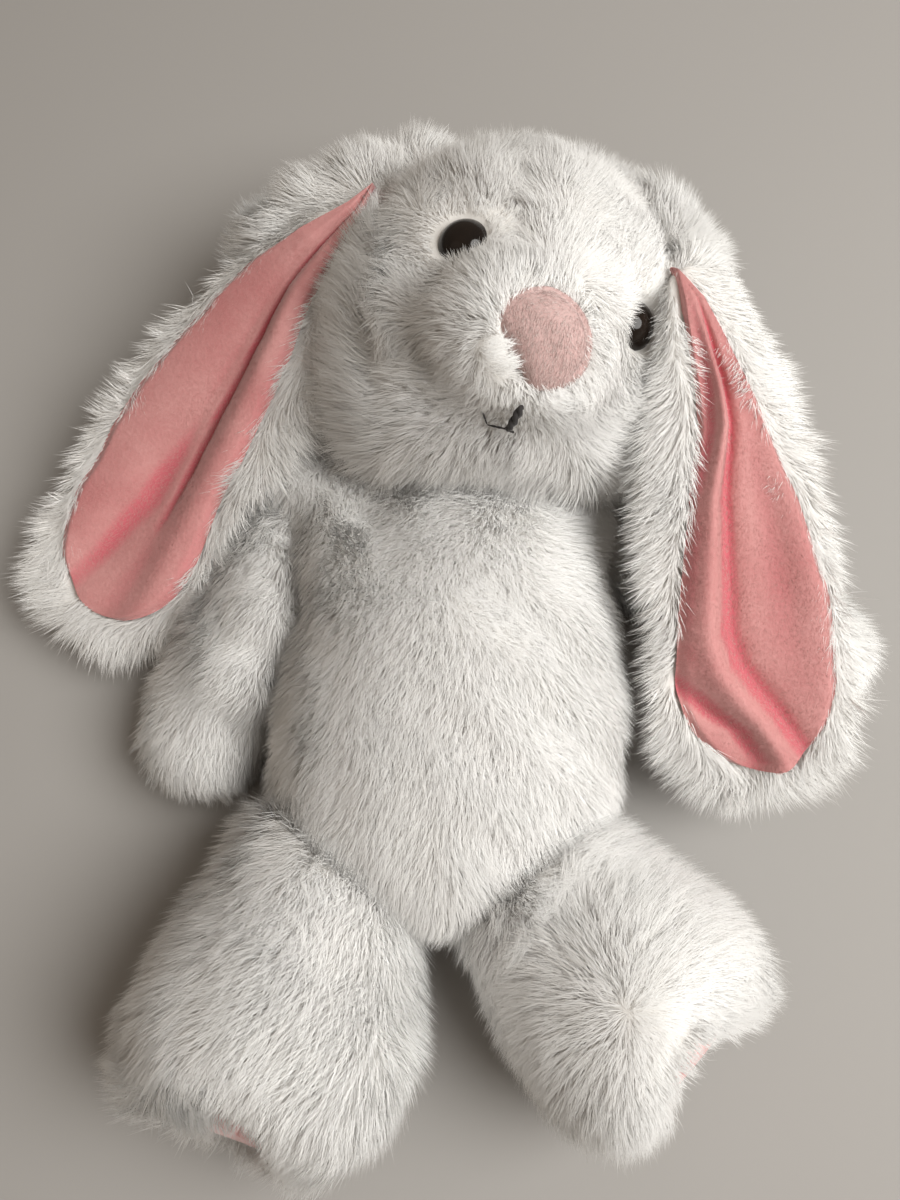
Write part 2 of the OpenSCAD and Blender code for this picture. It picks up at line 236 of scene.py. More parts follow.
def gloss_material(name, core, rim):
    """Polished plastic, a touch lighter and browner in faint clouds."""
    mat, nodes, links, shader = new_material(name)
    clouds = noise_node(nodes, links, 160)
    tint(nodes, links, clouds.outputs["Fac"], core, rim)
    set_inputs(shader, {"Roughness": 0.08, "Specular IOR Level": 0.25,
                        "Coat Weight": 0.1, "Coat Roughness": 0.03})
    return mat


def fibre_material(name, light, deep, scale=300):
    """Matted fibre for thread, filling and backing."""
    mat, nodes, links, shader = new_material(name)
    noise = noise_node(nodes, links, scale, 4)
    tint(nodes, links, noise.outputs["Fac"], deep, light)
    emboss(nodes, links, noise, 0.4, 0.0005)
    set_inputs(shader, {"Roughness": 0.8, "Sheen Weight": 0.2})
    return mat


# painted shade: each root tone is a little darker than its tip tone, for the shade deep in the pile; the
# cool pair is a random tone
FUR_TONES = [
    strand_material("fur_root", (0.95, 0.935, 0.91)),
    strand_material("fur_tip", (0.98, 0.975, 0.96)),
    strand_material("fur_root_cool", (0.93, 0.92, 0.905)),
    strand_material("fur_tip_cool", (0.965, 0.965, 0.96)),
]
# painted shade: the nap's root tone is darker than its tip tone, for the shade deep in the nap
NOSE_TONES = [
    strand_material("nose_nap_root", (0.62, 0.43, 0.41), sheen=0.5),
    strand_material("nose_nap_tip", (0.76, 0.61, 0.58), sheen=0.5),
]
# painted shade: the lining nap's root tone is darker than its tip tone, for the shade deep in the nap
LINING_TONES = [
    strand_material("lining_nap_root", (0.62, 0.27, 0.26), sheen=0.4),
    strand_material("lining_nap_tip", (0.68, 0.35, 0.33), sheen=0.4),
]
BACKING = fibre_material("fur_backing_knit", (0.90, 0.88, 0.85), (0.80, 0.78, 0.75), 500)
LINING = plush_material("lining_plush", (0.68, 0.33, 0.32), (0.56, 0.21, 0.21))
NOSE = plush_material("nose_plush", (0.70, 0.50, 0.48), (0.60, 0.38, 0.36))


def paint_crease_shade(mat, deep):
    """Painted shade: the mesh's "fold" values, high in its creases, deepen a material's colour there."""
    nodes, links = mat.node_tree.nodes, mat.node_tree.links
    shader = nodes["Principled BSDF"]
    plain = shader.inputs["Base Color"].links[0].from_socket
    fold = nodes.new("ShaderNodeAttribute")
    fold.attribute_name = "fold"
    mix = nodes.new("ShaderNodeMix")
    mix.data_type = "RGBA"
    links.new(fold.outputs["Fac"], mix.inputs["Factor"])
    links.new(plain, mix.inputs[6])
    mix.inputs[7].default_value = (*deep, 1)
    links.new(mix.outputs[2], shader.inputs["Base Color"])


# painted shade: the lining's creases are coloured a deeper red
paint_crease_shade(LINING, (0.62, 0.14, 0.17))
SOLE = plush_material("sole_plush", (0.88, 0.50, 0.49), (0.78, 0.38, 0.37))
EYE = gloss_material("eye_black_gloss", (0.006, 0.005, 0.005), (0.02, 0.013, 0.009))
THREAD = fibre_material("black_thread_fibre", (0.035, 0.03, 0.03), (0.008, 0.007, 0.007), 900)
FILLING = fibre_material("polyester_filling", (0.93, 0.93, 0.92), (0.80, 0.80, 0.79), 200)
WASHER = fibre_material("washer_plastic_matt", (0.80, 0.80, 0.78), (0.72, 0.72, 0.70), 120)
STITCH = fibre_material("white_thread_fibre", (0.90, 0.90, 0.88), (0.75, 0.75, 0.73), 900)


# ---- Skins: the fabric backing under the pile ------------------------------

def joined(name, nodes, extra=()):
    """One mesh of several CAD nodes, with balls (place, radius) that fill hollows."""
    bm = bmesh.new()
    for node in nodes:
        bm.from_mesh(NODES[node].data)
    for place, radius in extra:
        bmesh.ops.create_icosphere(bm, subdivisions=3, radius=radius,
                                   matrix=Matrix.Translation(Vector(place)))
    mesh = bpy.data.meshes.new(name)
    bm.to_mesh(mesh)
    bm.free()
    return linked(name, mesh)


def wrap(name, nodes, voxel, inset, relax=6, extra=()):
    """A closed smooth skin round CAD nodes, drawn in by inset."""
    obj = joined(name, nodes, extra)
    remesh = obj.modifiers.new("wrap", "REMESH")
    remesh.mode = "VOXEL"
    remesh.voxel_size = voxel
    even = obj.modifiers.new("even", "SMOOTH")
    even.factor = 0.5
    even.iterations = relax
    bake_modifiers(obj)
    co = points_of(obj.data) - normals_of(obj.data) * inset
    set_points(obj.data, co)
    smooth_shaded(obj.data)
    return obj


def panel_distances(points, panels):
    """How far each point is from each panel, with one column for a panel."""
    trees = [tree_of(NODES[node].data) for node in panels]
    return np.array([[tree.find_nearest(Vector(p))[3] for tree in trees] for p in points])


def seam_share(points, panels, reach):
    """1 on a seam between two panels, falling to 0 at reach from it."""
    far = panel_distances(points, panels)
    return np.clip(1 - np.sort(far, axis=1)[:, 1] / reach, 0, 1)


def puff(obj, held, cap, pressure=4.0, frames=20):
    """Blows the skin up like a filled bag. held vertices stay put, and no point moves past cap."""
    start = points_of(obj.data)
    group = obj.vertex_groups.new(name="sewn")
    for i in np.flatnonzero(held > 0.05):
        group.add([int(i)], float(held[i]), "REPLACE")
    cloth = obj.modifiers.new("cloth", "CLOTH")
    cloth.settings.quality = 5
    cloth.settings.mass = 0.15
    cloth.settings.tension_stiffness = 12
    cloth.settings.compression_stiffness = 12
    cloth.settings.bending_stiffness = 0.4
    cloth.settings.use_pressure = True
    cloth.settings.uniform_pressure_force = pressure
    cloth.settings.effector_weights.gravity = 0
    cloth.settings.vertex_group_mass = "sewn"
    cloth.collision_settings.use_collision = False
    cloth.point_cache.frame_start = 1
    cloth.point_cache.frame_end = frames
    scene = bpy.context.scene
    for f in range(1, frames + 1):
        scene.frame_set(f)
    graph = bpy.context.evaluated_depsgraph_get()
    swollen = points_of(obj.evaluated_get(graph).data)
    obj.modifiers.clear()
    scene.frame_set(1)
    move = swollen - start
    far = np.linalg.norm(move, axis=1, keepdims=True)
    move *= np.minimum(1, cap / np.maximum(far, 1e-9))
    set_points(obj.data, start + move)


def finer(obj):
    """One subdivision of the skin."""
    sub = obj.modifiers.new("finer", "SUBSURF")
    sub.levels = 1
    sub.render_levels = 1
    bake_modifiers(obj)


def off_floor(obj, height=0.4 * MM):
    """Keeps a skin on or above the floor."""
    co = points_of(obj.data)
    co[:, 2] = np.maximum(co[:, 2], height)
    set_points(obj.data, co)


# ---- Pile: long fibres as tapered ribbons ----------------------------------

STEPS = np.array([0.0, 0.5, 1.0])
WIDTHS = np.array([1.0, 0.85])


def scatter(mesh, per_mm2, rng, faces=None):
    """Random places on a mesh's chosen faces, with normals and the seam share there."""
    mesh.calc_loop_triangles()
    tri = np.empty(len(mesh.loop_triangles) * 3, np.int32)
    mesh.loop_triangles.foreach_get("vertices", tri)
    tri = tri.reshape(-1, 3)
    if faces is not None:
        owner = np.empty(len(tri), np.int32)
        mesh.loop_triangles.foreach_get("polygon_index", owner)
        tri = tri[faces[owner]]
    co, no = points_of(mesh), normals_of(mesh)
    a, b, c = co[tri[:, 0]], co[tri[:, 1]], co[tri[:, 2]]
    area = np.linalg.norm(np.cross(b - a, c - a), axis=1) / 2
    count = int(per_mm2 * area.sum() / MM ** 2)
    pick = rng.choice(len(tri), count, p=area / area.sum())
    u, v = rng.random(count), rng.random(count)
    flip = u + v > 1
    u[flip], v[flip] = 1 - u[flip], 1 - v[flip]
    w = np.stack([1 - u - v, u, v], 1)[:, :, None]
    p = (co[tri[pick]] * w).sum(1)
    n = unit((no[tri[pick]] * w).sum(1))
    seam = np.zeros(len(co))
    if "seam" in mesh.attributes:
        mesh.attributes["seam"].data.foreach_get("value", seam)
    return p, n, (seam[tri[pick]] * w[:, :, 0]).sum(1)


def ribbon_mesh(name, path, side, facing, width, tone):
    """Tapered ribbons along paths (n, 3, 3), each a quad and a pointed tip."""
    n = len(path)
    half = side * (width[:, None, None] / 2)
    co = np.empty((n, 5, 3))
    co[:, 0:4:2] = path[:, :2] - half * WIDTHS[None, :, None]
    co[:, 1:4:2] = path[:, :2] + half * WIDTHS[None, :, None]
    co[:, 4] = path[:, 2]
    pattern = np.array([0, 1, 3, 2, 2, 3, 4])
    loops = (pattern[None, :] + 5 * np.arange(n)[:, None]).ravel()
    starts = (np.array([0, 4])[None, :] + 7 * np.arange(n)[:, None]).ravel()
    mesh = bpy.data.meshes.new(name)
    mesh.vertices.add(n * 5)
    mesh.loops.add(n * 7)
    mesh.polygons.add(n * 2)
    mesh.vertices.foreach_set("co", co.astype(np.float32).ravel())
    mesh.loops.foreach_set("vertex_index", loops.astype(np.int32))
    mesh.polygons.foreach_set("loop_start", starts.astype(np.int32))
    mesh.polygons.foreach_set("loop_total", np.tile([4, 3], n).astype(np.int32))
    mesh.polygons.foreach_set("material_index", tone.astype(np.int32).ravel())
    mesh.polygons.foreach_set("use_smooth", np.ones(n * 2, bool))
    mesh.update(calc_edges=True)
    normal = np.repeat(facing[:, None, :], 5, axis=1).reshape(-1, 3)
    mesh.normals_split_custom_set_from_vertices(normal.astype(np.float32).tolist())
    return mesh


def fibre_paths(p, n, flow, rise, long, wave, rng):
    """Root, middle and tip of each fibre, which rises from the skin and bends over along flow."""
    first = unit(n * rise + flow * (1 - rise))
    last = unit(n * rise * 0.5 + flow * (1.1 - rise * 0.5))
    t = STEPS[None, :, None]
    path = p[:, None] + long * (t * first[:, None] + 0.5 * t * t * (last - first)[:, None])
    return path + rng.normal(0, wave * MM, (len(p), 3, 3)) * t


def gather_locks(path, p, lock, share, rng):
    """Fibres lean on the nearest guide fibre, more towards their tips. One in lock is a guide."""
    guides = np.arange(0, len(p), lock)
    tree = KDTree(len(guides))
    for k, g in enumerate(guides):
        tree.insert(Vector(p[g]), k)
    tree.balance()
    near = guides[np.array([tree.find(Vector(q))[1] for q in p])]
    pull = (share * rng.uniform(0.4, 1.3, len(p)))[:, None, None] * STEPS[None, :, None] ** 1.4
    return path + (path[near] - path) * np.clip(pull, 0, 0.95)


def ribbon_sides(path, n, rng):
    """The side direction of each ribbon, rolled at random, and the normal it is shaded with."""
    along = unit(path[:, 1:] - path[:, :2])
    roll = rng.normal(0, 0.45, len(path))[:, None, None]
    flat = unit(np.cross(along, np.repeat(n[:, None], 2, axis=1)))
    up = np.cross(flat, along)
    side = flat * np.cos(roll) + up * np.sin(roll)
    face = np.cross(side[:, 1], along[:, 1])
    face *= np.sign((face * n).sum(1, keepdims=True) + 1e-9)
    return side, unit(n * 0.9 + unit(face) * 0.15)


def pile(name, skin, per_mm2, length, comb, lift, keep=None, seed=1, width=0.19, faces=None,
         clump=0.3, lock=9, ragged=0.4, wave=0.3, short=0.6, most=66500, tones=FUR_TONES):
    """Grows fibres on a skin's faces. length (mm), comb (direction), lift (0..1) and keep (0..1)
    are functions of (places, normals, seam share); clump is a share or such a function."""
    rng = np.random.default_rng(seed)
    p, n, seam = scatter(skin.data, per_mm2, rng, faces)
    if keep is not None:
        stays = rng.random(len(p)) < keep(p, n, seam)
        p, n, seam = p[stays], n[stays], seam[stays]
    if len(p) > most:
        width *= math.sqrt(len(p) / most)
        p, n, seam = p[:most], n[:most], seam[:most]
    count = len(p)
    flow = comb(p, n, seam)
    flow = unit(flow - (flow * n).sum(1, keepdims=True) * n)
    jitter = unit(rng.normal(size=(count, 3)))
    flow = unit(flow + ragged * (jitter - (jitter * n).sum(1, keepdims=True) * n))
    rise = np.clip(lift(p, n, seam) + rng.normal(0, 0.12, count), 0.08, 0.97)[:, None]
    long = (length(p, n, seam) * MM * rng.uniform(short, 1.12, count))[:, None, None]
    path = fibre_paths(p, n, flow, rise, long, wave, rng)
    share = clump(p, n, seam) if callable(clump) else clump
    path = gather_locks(path, p, lock, share, rng)
    low = rng.uniform(0.2, 1.2, count)[:, None] * MM
    path[:, :, 2] = np.maximum(path[:, :, 2], low)
    side, facing = ribbon_sides(path, n, rng)
    wide = width * MM * rng.uniform(0.7, 1.2, count)
    # the root quad takes the darker root tone, painted shade deep in the pile, and the tip its tip tone
    tone = np.tile([0, 1], (count, 1))
    if len(tones) > 2:
        tone = tone + 2 * (rng.random(count) < 0.35)[:, None]
    mesh = ribbon_mesh(name, path, side, facing, wide, tone)
    for mat in tones:
        mesh.materials.append(mat)
    return linked(name, mesh)


# ---- Places the fur follows ------------------------------------------------

nose_at = centre("nose_patch")
mouth_at = centre("mouth_thread")
wander = Waves(11, 0.055)
swirl = Waves(12, 0.022)


def eye_top(node):
    """Top of an eye's dome: the mean of its points farthest from the head's middle."""
    co = points_of(NODES[node].data)
    inner = centre("head_stuffing")
    reach = (co - inner) @ unit(co.mean(0) - inner)
    return co[reach > reach.max() - 2 * MM].mean(0)


eye_tops = [eye_top("eye_left"), eye_top("eye_right")]


def radial(p, place):
    """The way from a place to each point."""
    return unit(p - place)


def far_from(p, place):
    """How far each point is from a place."""
    return np.linalg.norm(p - place, axis=1)


# share of the fibres left where the form rests on the floor
WORN = 0.35


def thinned(n):
    """Share of fibres kept: all on top and sides, WORN underneath."""
    return WORN + (1 - WORN) * smooth(n[:, 2], -0.9, -0.35)


# ---- Torso -----------------------------------------------------------------

def build_body(name, nodes, panels, voxel, inset, cap, extra=(), shape=None, relax=6):
    """The fabric bag of one stuffed part, blown up between its seams. shape gives how far
    each point moves first, from (places, normals)."""
    skin = wrap(name, nodes, voxel, inset, relax=relax, extra=extra)
    co = points_of(skin.data)
    held = seam_share(co, panels, 7 * MM)
    if shape is not None:
        set_points(skin.data, co + shape(co, normals_of(skin.data)))
    puff(skin, held ** 0.5, cap)
    finer(skin)
    off_floor(skin)
    seam = seam_share(points_of(skin.data), panels, 8 * MM)
    point_values(skin.data, "seam", seam)
    wear(skin, BACKING)
    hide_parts(*panels)
    return skin


def faces_near(skin, panels):
    """For each panel, which faces of the skin lie nearest to it."""
    nearest = panel_distances([f.center for f in skin.data.polygons], panels).argmin(1)
    return [nearest == k for k in range(len(panels))]


HIP = {s: np.array(JOINTS[f"hip_{s}_lift"]["pos_m"]) for s in ("left", "right")}
NECK = np.array(JOINTS["neck_nod"]["pos_m"])


def lift_direction(joint):
    """The way a lifting limb or ear points, across its hinge."""
    axis = JOINTS[joint]["axis"]
    return np.array([-axis[1], axis[0], 0.0])


torso_panels = ["torso_front_panel", "torso_back_left_panel", "torso_back_right_panel"]
torso = build_body("torso_backing", torso_panels + ["torso_stuffing"], torso_panels,
                   4.5 * MM, 0.2 * MM, 3.0 * MM,
                   extra=[(NECK + np.array([-34, -4, -20]) * MM, 17 * MM),
                          (NECK + np.array([-34, -18, -16]) * MM, 17 * MM),
                          (NECK + np.array([-28, -30, -13]) * MM, 19 * MM),
                          (NECK + np.array([-48, 5, -20]) * MM, 14 * MM),
                          (NECK + np.array([28, -6, -22]) * MM, 15 * MM)])
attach(torso, "torso")
torso_mid = centre("torso_stuffing")


def torso_comb(p, n, seam):
    """Down the belly, fanning out to the sides."""
    out = p - torso_mid
    out[:, 1] *= 0.3
    down = np.array([0.05, -1.0, 0.0])
    return 1.1 * down + 0.45 * unit(out) + 0.25 * wander(p) + 0.2 * swirl(p)


def torso_keep(p, n, seam):
    """A little thinner low at the neck, where the head lies over it."""
    neck = np.maximum(smooth(n[:, 1], 0.93, 0.6), smooth(p[:, 2], 0.02, 0.035))
    return thinned(n) * np.maximum(neck, 0.8)


torso_faces = faces_near(torso, torso_panels)
on_left = np.array([f.center.x > torso_mid[0] for f in torso.data.polygons])
on_front = torso_faces[0] | np.array([f.normal.z > 0.25 for f in torso.data.polygons])
for name, faces, per_mm2, seed in (
        ("torso_front_left_pile", on_front & on_left, 8, 21),
        ("torso_front_right_pile", on_front & ~on_left, 8, 23),
        ("torso_back_pile", ~on_front, 4.5, 24)):
    fur = pile(name, torso, per_mm2,
               lambda p, n, s: 8.5 - 1.0 * s + 2.5 * smooth(-p[:, 1], 0.01, 0.06),
               torso_comb, lambda p, n, s: 0.66 - 0.15 * s + 0.12 * swirl(p)[:, 0],
               torso_keep, seed=seed, faces=faces, width=0.165,
               clump=lambda p, n, s: 0.06 + 0.4 * smooth(-p[:, 0], 0.0, 0.035))
    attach(fur, "torso")


# ---- The ears' own frames ---------------------------------------------------

# How each lining is cut: places along the ear, widest half width there in mm, sideways shift in mm
LINING_CUT = {"left": ([-0.02, 0.05, 0.13, 0.29, 0.44, 0.60, 1.0], [0, 3.0, 5.3, 9, 14.5, 19, 30],
                       [-7, -4, -1.7, 2.7, 2.3, 1, 1]),
              "right": ([-0.11, -0.05, 0.04, 0.15, 0.30, 1.0], [0, 3, 7.3, 11.5, 17, 30],
                        [4, 4.5, 2.5, 0, 0, 0])}


class EarFrame:
    """Places on an ear: s runs 0..1 from root to tip, v runs -1..1 across the lining."""

    def __init__(self, side):
        co = points_of(NODES[f"ear_{side}_lining"].data)
        flow = lift_direction(f"ear_{side}_lift")
        reach = co @ flow
        self.root = co[reach < reach.min() + 0.004].mean(0)
        tip = co[reach > reach.max() - 0.004].mean(0)
        self.length = np.linalg.norm(tip - self.root)
        self.along = (tip - self.root) / self.length
        self.up = unit(UP - (UP @ self.along) * self.along)
        self.across = np.cross(self.up, self.along)
        s, d, _ = self.raw(co)
        self.stops = np.linspace(0.06, 0.94, 12)
        bins = [np.abs(s - k) < 0.06 for k in self.stops]
        self.mid = np.array([(d[b].max() + d[b].min()) / 2 for b in bins])
        self.half = np.array([(d[b].max() - d[b].min()) / 2 for b in bins])
        self.cut = LINING_CUT[side]
        self.start, self.stop = self.cut[0][0], 0.97

    def raw(self, p):
        """Share along, distance across, and height of points."""
        q = p - self.root
        return q @ self.along / self.length, q @ self.across, q @ self.up

    def middle(self, s):
        """The lining's middle line, as a distance across."""
        return np.interp(s, self.stops, self.mid) + np.interp(s, self.cut[0], self.cut[2]) * MM

    def plain(self, s):
        """Half the lining's width, cut to a point at the root."""
        return np.minimum(np.interp(np.minimum(s, 0.76), self.stops, self.half),
                          np.interp(s, self.cut[0], self.cut[1]) * MM)

    def edge(self, s):
        """The same with the tip rounded off."""
        tip = np.clip((s - 0.74) / (self.stop - 0.74), 0, 1)
        return self.plain(s) * (1 - tip ** 2.3) ** 0.5

    def local(self, p):
        """s, v and the distance in mm past the lining's edge."""
        s, d, _ = self.raw(p)
        off, edge = d - self.middle(s), self.edge(s)
        return s, off / np.maximum(self.plain(s), 5 * MM), (np.abs(off) - edge) / MM

    def place(self, s, d, h):
        """Points at a share along, a distance across and a height."""
        return (self.root + np.multiply.outer(s * self.length, self.along)
                + np.multiply.outer(d, self.across) + np.multiply.outer(h, self.up))


ear_frames = {side: EarFrame(side) for side in ("left", "right")}


def over_lining(p):
    """1 on and beside the top of either lining, where no fur of the head lies over it."""
    share = np.zeros(len(p))
    for ear in ear_frames.values():
        s, _, past = ear.local(p)
        near_top = smooth(s, 0.30, 0.22) * smooth(s, -0.16, -0.10)
        share = np.maximum(share, smooth(past, 5, 1) * near_top)
    return share


# ---- Head ------------------------------------------------------------------

head_panels = ["head_gusset", "head_left_panel", "head_right_panel", "muzzle_panel"]
ear_roots = {s: np.array(JOINTS[f"ear_{s}_lift"]["pos_m"]) for s in ("left", "right")}
head_mid = centre("head_stuffing")
CROWN = unit((head_mid - NECK) * [1, 1, 0])
# places and radii, in mm from the ears' roots, of the folds of fabric round each root
ROOT_FOLDS = {"left": [((-2, -2, -8), 11), ((1, 8, -22), 14), ((-7, 26, -23), 13)],
              "right": [((0, 0, -8), 11), ((18, 21, -16), 13.5), ((4, 16, -15), 13.5),
                        ((-10, 10, -14), 13), ((-21, 0, -14), 11)]}


def head_shape(p, n):
    """Fuller crown and cheeks, as the filling pushes them out."""
    crown = smooth((p - head_mid) @ CROWN / 0.045, 0.2, 0.9)
    cheeks = bump((p - head_mid) @ CROWN / 0.045, -0.2, 0.5)
    return n * (0.8 - 0.6 * crown + 1.2 * cheeks)[:, None] * MM


head = build_body("head_backing", head_panels + ["head_stuffing"], head_panels,
                  4.0 * MM, 0.8 * MM, 2.2 * MM, shape=head_shape,
                  extra=[(ear_roots[side] + np.array(at) * MM, r * MM)
                         for side, folds in ROOT_FOLDS.items() for at, r in folds])
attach(head, "head")
NOSE_OUT = unit(nose_at - head_mid)
TUFT = unit(np.array([-0.85, -0.5, 0.0]))
MOUTH_SHIFT = np.array([4.7, -3.0, -1.5]) * MM
# the fibres on the crown reach up to here
CROWN_TOP = 173.5 * MM


def to_eye(p):
    """Distance to the nearer eye's dome."""
    return np.min([far_from(p, e) for e in eye_tops], axis=0)


def nose_side(p):
    """1 on the side of the nearer eye that looks to the nose."""
    share = [radial(p, e) @ unit(nose_at - e) for e in eye_tops]
    nearer = far_from(p, eye_tops[0]) < far_from(p, eye_tops[1])
    return smooth(np.where(nearer, share[0], share[1]), 0.1, 0.8)


def head_length(p, n, seam):
    """Short fur on the muzzle and round the eyes and mouth, long at the chin and outer cheek."""
    face = far_from(p, nose_at)
    long = 7.5 + 4.0 * smooth(face, 0.018, 0.06)
    bare = 0.28 + 0.40 * nose_side(p)
    near_eye = bare + (1 - bare) * smooth(to_eye(p), 0.010, 0.021)
    mouth = 0.30 + 0.70 * smooth(far_from(p, mouth_at + MOUTH_SHIFT), 0.004, 0.012)
    chin = 6.0 * smooth(n @ -CROWN, 0.2, 0.8) * smooth(face, 0.025, 0.045)
    cheek = 3.5 * smooth(-n[:, 0], 0.3, 0.9) * smooth(0.12 - p[:, 1], 0.0, 0.02)
    room = np.maximum((CROWN_TOP - p[:, 1]) / MM / 1.12, 3)
    clear = 1 - 0.75 * over_lining(p)
    return np.minimum((long + chin + cheek) * near_eye * mouth * clear * (1 - 0.15 * seam), room)


def head_comb(p, n, seam):
    """Away from the nose, round the eyes' outer sides, and back over the nose at the tuft."""
    flow = radial(p, nose_at) + 0.4 * wander(p) + 0.5 * swirl(p)
    outer = 1 - nose_side(p)[:, None]
    for eye in eye_tops:
        flow += 1.8 * outer * radial(p, eye) * bump(far_from(p, eye), 0.007, 0.006)[:, None]
    tuft = tuft_share(p)[:, None]
    return flow * (1 - tuft) - tuft * 1.3 * radial(p, nose_at)


def tuft_share(p):
    """1 just past the nose's lower outer corner, where a white tuft laps over the nose."""
    q = p - nose_at
    toward = unit(q - np.outer(q @ NOSE_OUT, NOSE_OUT)) @ TUFT
    return smooth(toward, 0.86, 0.97) * bump(np.linalg.norm(q, axis=1), 0.0125, 0.004)


def head_keep(p, n, seam):
    """Bare under the nose and eyes, and nearly so where the head meets the torso."""
    low = smooth(p[:, 1], 0.07, 0.066) * smooth(p[:, 2], 0.035, 0.02)
    neck = 1 - smooth(-n[:, 1], 0.75, 0.95) * low
    nose = smooth(far_from(p, nose_at), 0.0095, 0.0115)
    eye = smooth(to_eye(p), 0.0076, 0.0086)
    return thinned(n) * np.maximum(neck, 0.1) * nose * eye


for node, faces, seed in zip(head_panels, faces_near(head, head_panels), (22, 25, 26, 27)):
    fur = pile(node.replace("_panel", "") + "_pile", head, 7.5, head_length, head_comb,
               lambda p, n, s: 0.68 - 0.06 * s + 0.22 * swirl(p)[:, 1],
               head_keep, seed=seed, faces=faces, ragged=0.6, lock=16, width=0.175,
               clump=lambda p, n, s: 0.25 + 0.35 * smooth(wander(p)[:, 1], -0.3, 0.8))
    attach(fur, "head")


# ---- Ears ------------------------------------------------------------------

def ear_relief_left(s, v):
    """Folds of the left ear's face, in mm: a rolled band beside a crease, curling over at its end."""
    crease = np.interp(s, [0, .23, .32, .43, .68, .75, .81, .86, .95],
                       [.2, -.06, -.2, -.39, -.41, -.29, -.07, .14, .37])
    band = 5.0 * bump(v, crease - 0.26, 0.24) * smooth(s, 0.02, 0.3)
    step = -2.2 * bump(v, crease + 0.10, 0.16) * smooth(s, 0.0, 0.2) * smooth(s, 1.0, 0.85)
    low = np.interp(s, [.7, .78, .84, .88, .95], [-1.2, -.95, -.6, -.3, -.1])
    fold = -2.6 * bump(v, low, 0.16) * smooth(s, 0.7, 0.8) * smooth(s, 1.0, 0.9)
    shoulder = 2.2 * bump(v, 0.78, 0.28) * bump(s, 0.56, 0.2)
    return band + step + fold + shoulder


def ear_relief_right(s, v):
    """Folds of the right ear's face, in mm: one long crease that fades into a soft valley."""
    crease = np.interp(s, [0, .3, .6, .75], [.18, .25, .35, .28])
    sharp = -3.0 * bump(v, crease, 0.07) * smooth(s, 0.78, 0.55)
    wide = -1.6 * bump(v, crease - 0.12, 0.26) * smooth(s, 0.85, 0.55)
    roll = 3.2 * bump(v, crease + 0.38, 0.30) * smooth(s, 0.02, 0.25)
    valley = np.interp(s, [.5, .7, .85, 1.0], [.1, -.09, -.3, -.5])
    soft = -2.4 * bump(v, valley, 0.24) * smooth(s, 0.45, 0.7)
    plain = 1.2 * bump(v, -0.55, 0.4) * smooth(s, 0.1, 0.4)
    return sharp + wide + roll + soft + plain


EAR_RELIEF = {"left": ear_relief_left, "right": ear_relief_right}


def blurred(grid, times):
    """Evens out a grid of heights, its edge rows included."""
    for _ in range(times):
        wide = np.pad(grid, 1, mode="edge")
        grid = (wide[1:-1, 1:-1] * 2 + wide[:-2, 1:-1] + wide[2:, 1:-1]
                + wide[1:-1, :-2] + wide[1:-1, 2:]) / 6
    return grid


def sheet_mesh(name, top, under, fold):
    """A thin closed sheet between two grids of points, its creases marked where it folds in, for the
    painted shade there.
    """
    rows, columns = fold.shape
    index = np.arange(rows * columns).reshape(rows, columns)
    quads = np.stack([index[:-1, :-1], index[:-1, 1:], index[1:, 1:], index[1:, :-1]], -1).reshape(-1, 4)
    mesh = bpy.data.meshes.new(name)
    mesh.from_pydata(np.concatenate([top.reshape(-1, 3), under.reshape(-1, 3)]).tolist(), [],
                     np.concatenate([quads[:, ::-1], quads + rows * columns]).tolist())
    # share of painted crease shade: how far the sheet dips below its smoothed self
    crease = np.clip(-(fold - blurred(fold, 10)) / 0.25, 0, 1).ravel()
    point_values(mesh, "fold", np.tile(crease, 2))
    bm = bmesh.new()
    bm.from_mesh(mesh)
    bmesh.ops.remove_doubles(bm, verts=bm.verts, dist=0.004 * MM)
    bmesh.ops.recalc_face_normals(bm, faces=bm.faces)
    bm.to_mesh(mesh)
    bm.free()
    smooth_shaded(mesh)
    return mesh


# height over the ear from which its face is measured
PROBE = 0.05


def lining_sheet(side, ear, rows=120, columns=60):
    """The lining as one smooth thin sheet over the CAD lining's face, with its folds."""
    tree = tree_of(NODES[f"ear_{side}_lining"].data)
    t = np.linspace(0, 1, rows)
    s = ear.start + (ear.stop - ear.start) * (1 - np.cos(math.pi * t)) / 2
    v = np.sin(np.linspace(-1, 1, columns) * math.pi / 2)
    edge = np.maximum(ear.edge(s), 0.2 * MM)
    d = ear.middle(s)[:, None] + edge[:, None] * v
    inner = np.interp(s, ear.stops, ear.mid)[:, None]
    reach = np.interp(s, ear.stops, ear.half)[:, None] * 0.85
    probe = ear.place(np.clip(s, 0.05, 0.95)[:, None] + 0 * d,
                      np.clip(d, inner - reach, inner + reach), PROBE + 0 * d)
    down = Vector(-ear.up)
    h = np.array([PROBE - (tree.ray_cast(Vector(q), down)[3] or PROBE) for q in probe.reshape(-1, 3)])
    h = blurred(h.reshape(d.shape), 12)
    h -= np.maximum(0.05 - s, 0)[:, None] * ear.length * 0.33
    shaped_v = v[None, :] + 0 * d
    shaped_s = s[:, None] + 0 * d
    fold = EAR_RELIEF[side](shaped_s, shaped_v * (edge / np.maximum(ear.plain(s), 0.2 * MM))[:, None])
    h += (fold - 1.6 * smooth(np.abs(shaped_v), 0.86, 1.0)) * MM
    slim = np.sqrt(np.sin(math.pi * t).clip(0))[:, None] * np.sqrt(1 - v ** 2)[None, :]
    top = ear.place(shaped_s, d, h)
    under = ear.place(shaped_s, d, h - 1.0 * MM * slim)
    mesh = sheet_mesh(f"ear_{side}_lining_cloth", top, under, fold)
    mesh.materials.append(LINING)
    return linked(f"ear_{side}_lining_cloth", mesh)


